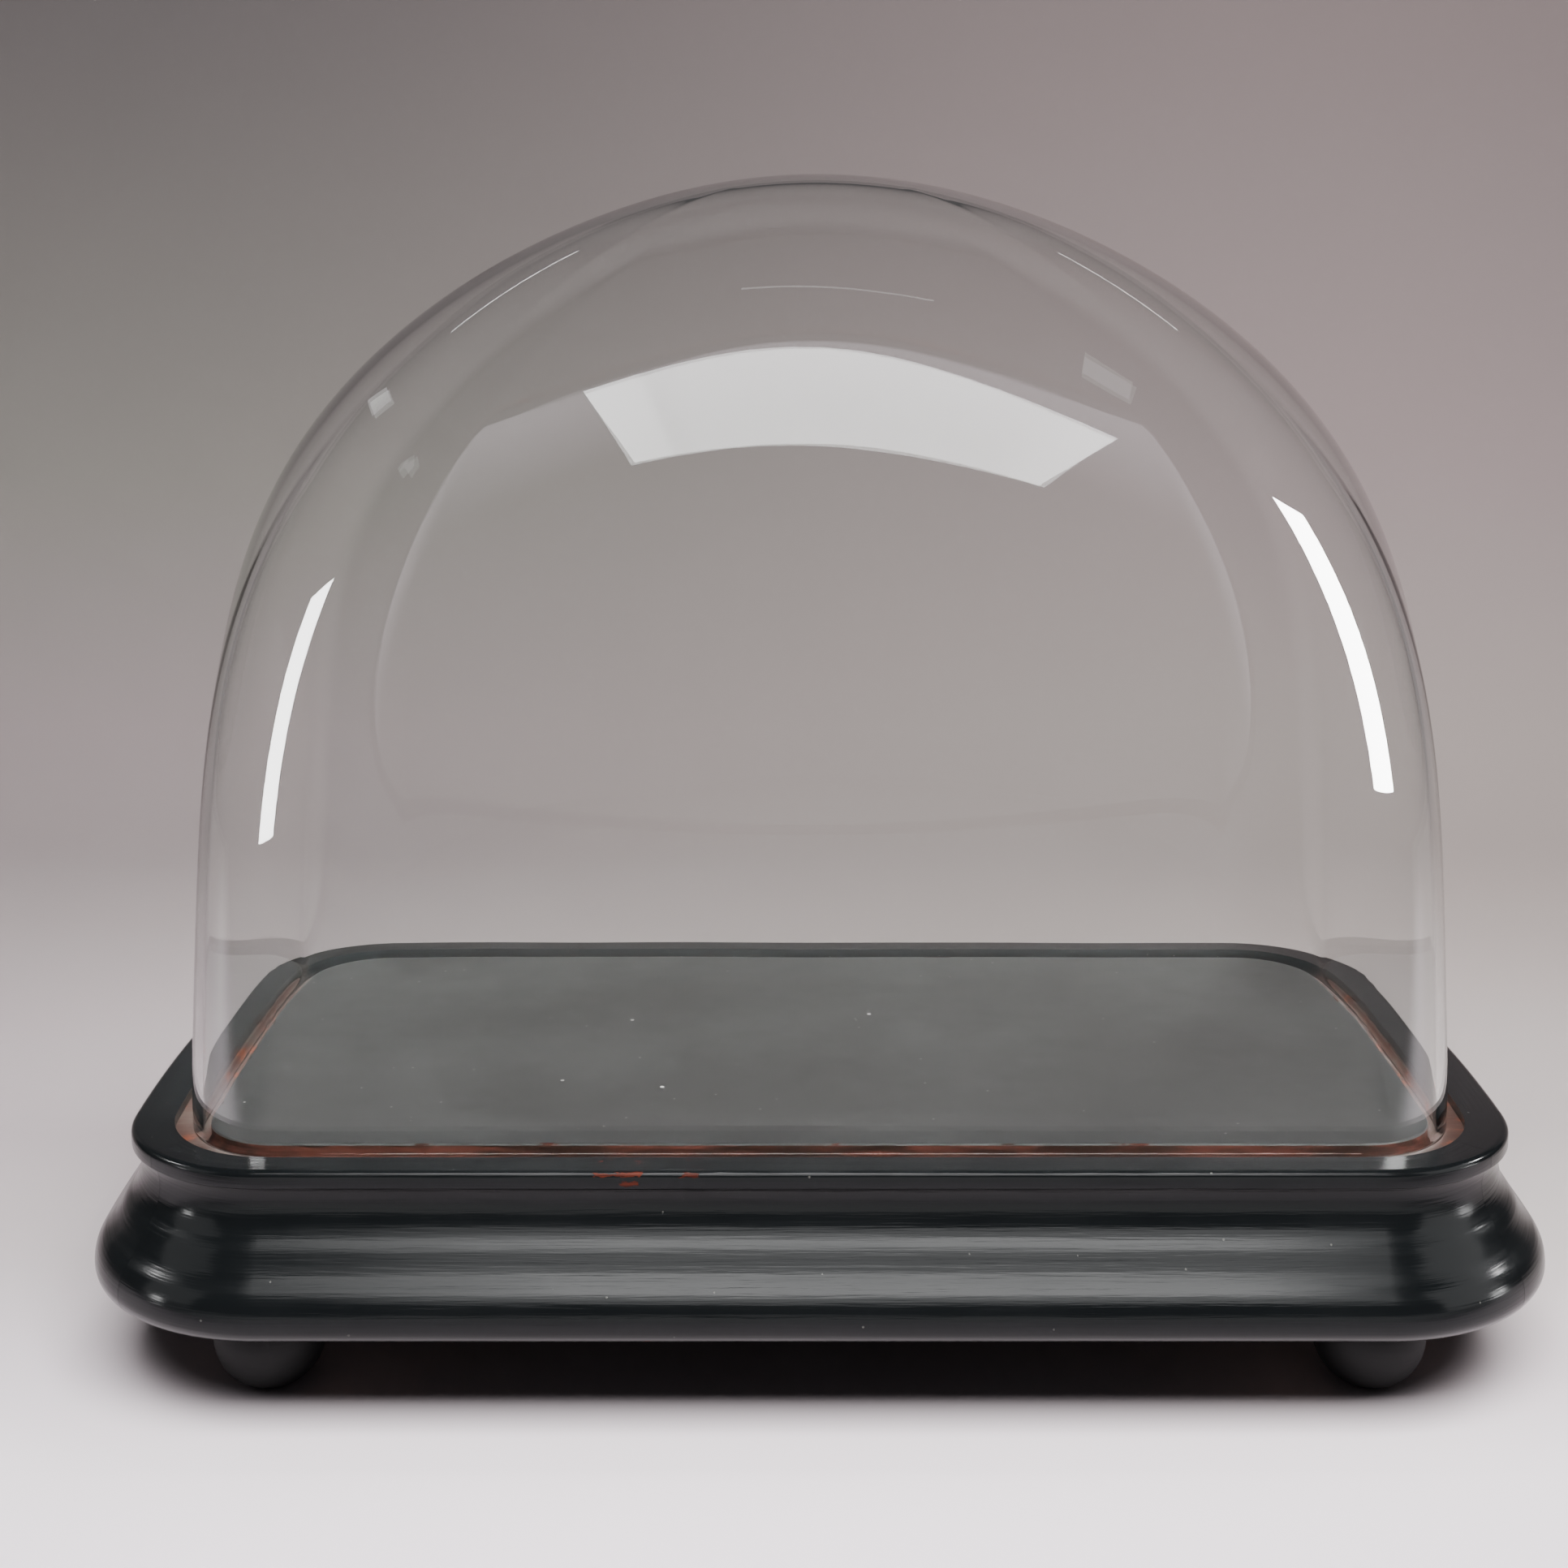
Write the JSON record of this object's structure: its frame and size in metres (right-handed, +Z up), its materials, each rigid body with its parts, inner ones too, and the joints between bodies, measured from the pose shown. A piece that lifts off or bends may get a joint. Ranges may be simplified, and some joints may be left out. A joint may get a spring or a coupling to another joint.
{
  "type": "bell jar dome",
  "caption": "Oblong blown-glass dome with a rounded crown that lifts off a black moulded wooden base on ball feet; its rim stands in a groove round a display platform.",
  "frame": {"origin": "middle of the footprint, on the floor that the feet stand on", "axes": "+X along the long side to the right, +Y towards the back, +Z up; the front is -Y"},
  "size_m": [0.4524, 0.2488, 0.3683],
  "materials": {
    "ebonised_moulding": "worn black satin-gloss finish over a fine grain, with small orange-red chips",
    "ebonised_platform": "black paint, dusty and finely scratched, worn to red-brown wood at its edge",
    "bare_wood": "bare red-brown wood, matte and dusty",
    "ebonised_foot": "turned, matte black",
    "softwood_block": "sawn softwood, matte",
    "screw_steel": "dull steel",
    "clear_glass": "clear blown glass, faintly grey-green, with fine scratches and a slight ripple"
  },
  "bodies": {
    "base": {"rail_front": "ebonised_moulding", "rail_right": "ebonised_moulding", "rail_back": "ebonised_moulding", "rail_left": "ebonised_moulding", "baseboard": "bare_wood", "platform": "ebonised_platform", "block_front_left": "softwood_block", "block_front_right": "softwood_block", "block_back_left": "softwood_block", "block_back_right": "softwood_block", "foot_front_left": "ebonised_foot", "foot_front_right": "ebonised_foot", "foot_back_left": "ebonised_foot", "foot_back_right": "ebonised_foot", "block_screws": "screw_steel"},
    "dome": {"glass_dome": "clear_glass"}
  },
  "joints": [
    {"name": "dome_lift", "type": "slide", "parent": "base", "child": "dome", "axis": [0, 0, 1], "range_m": [0, 0.32]}
  ]
}
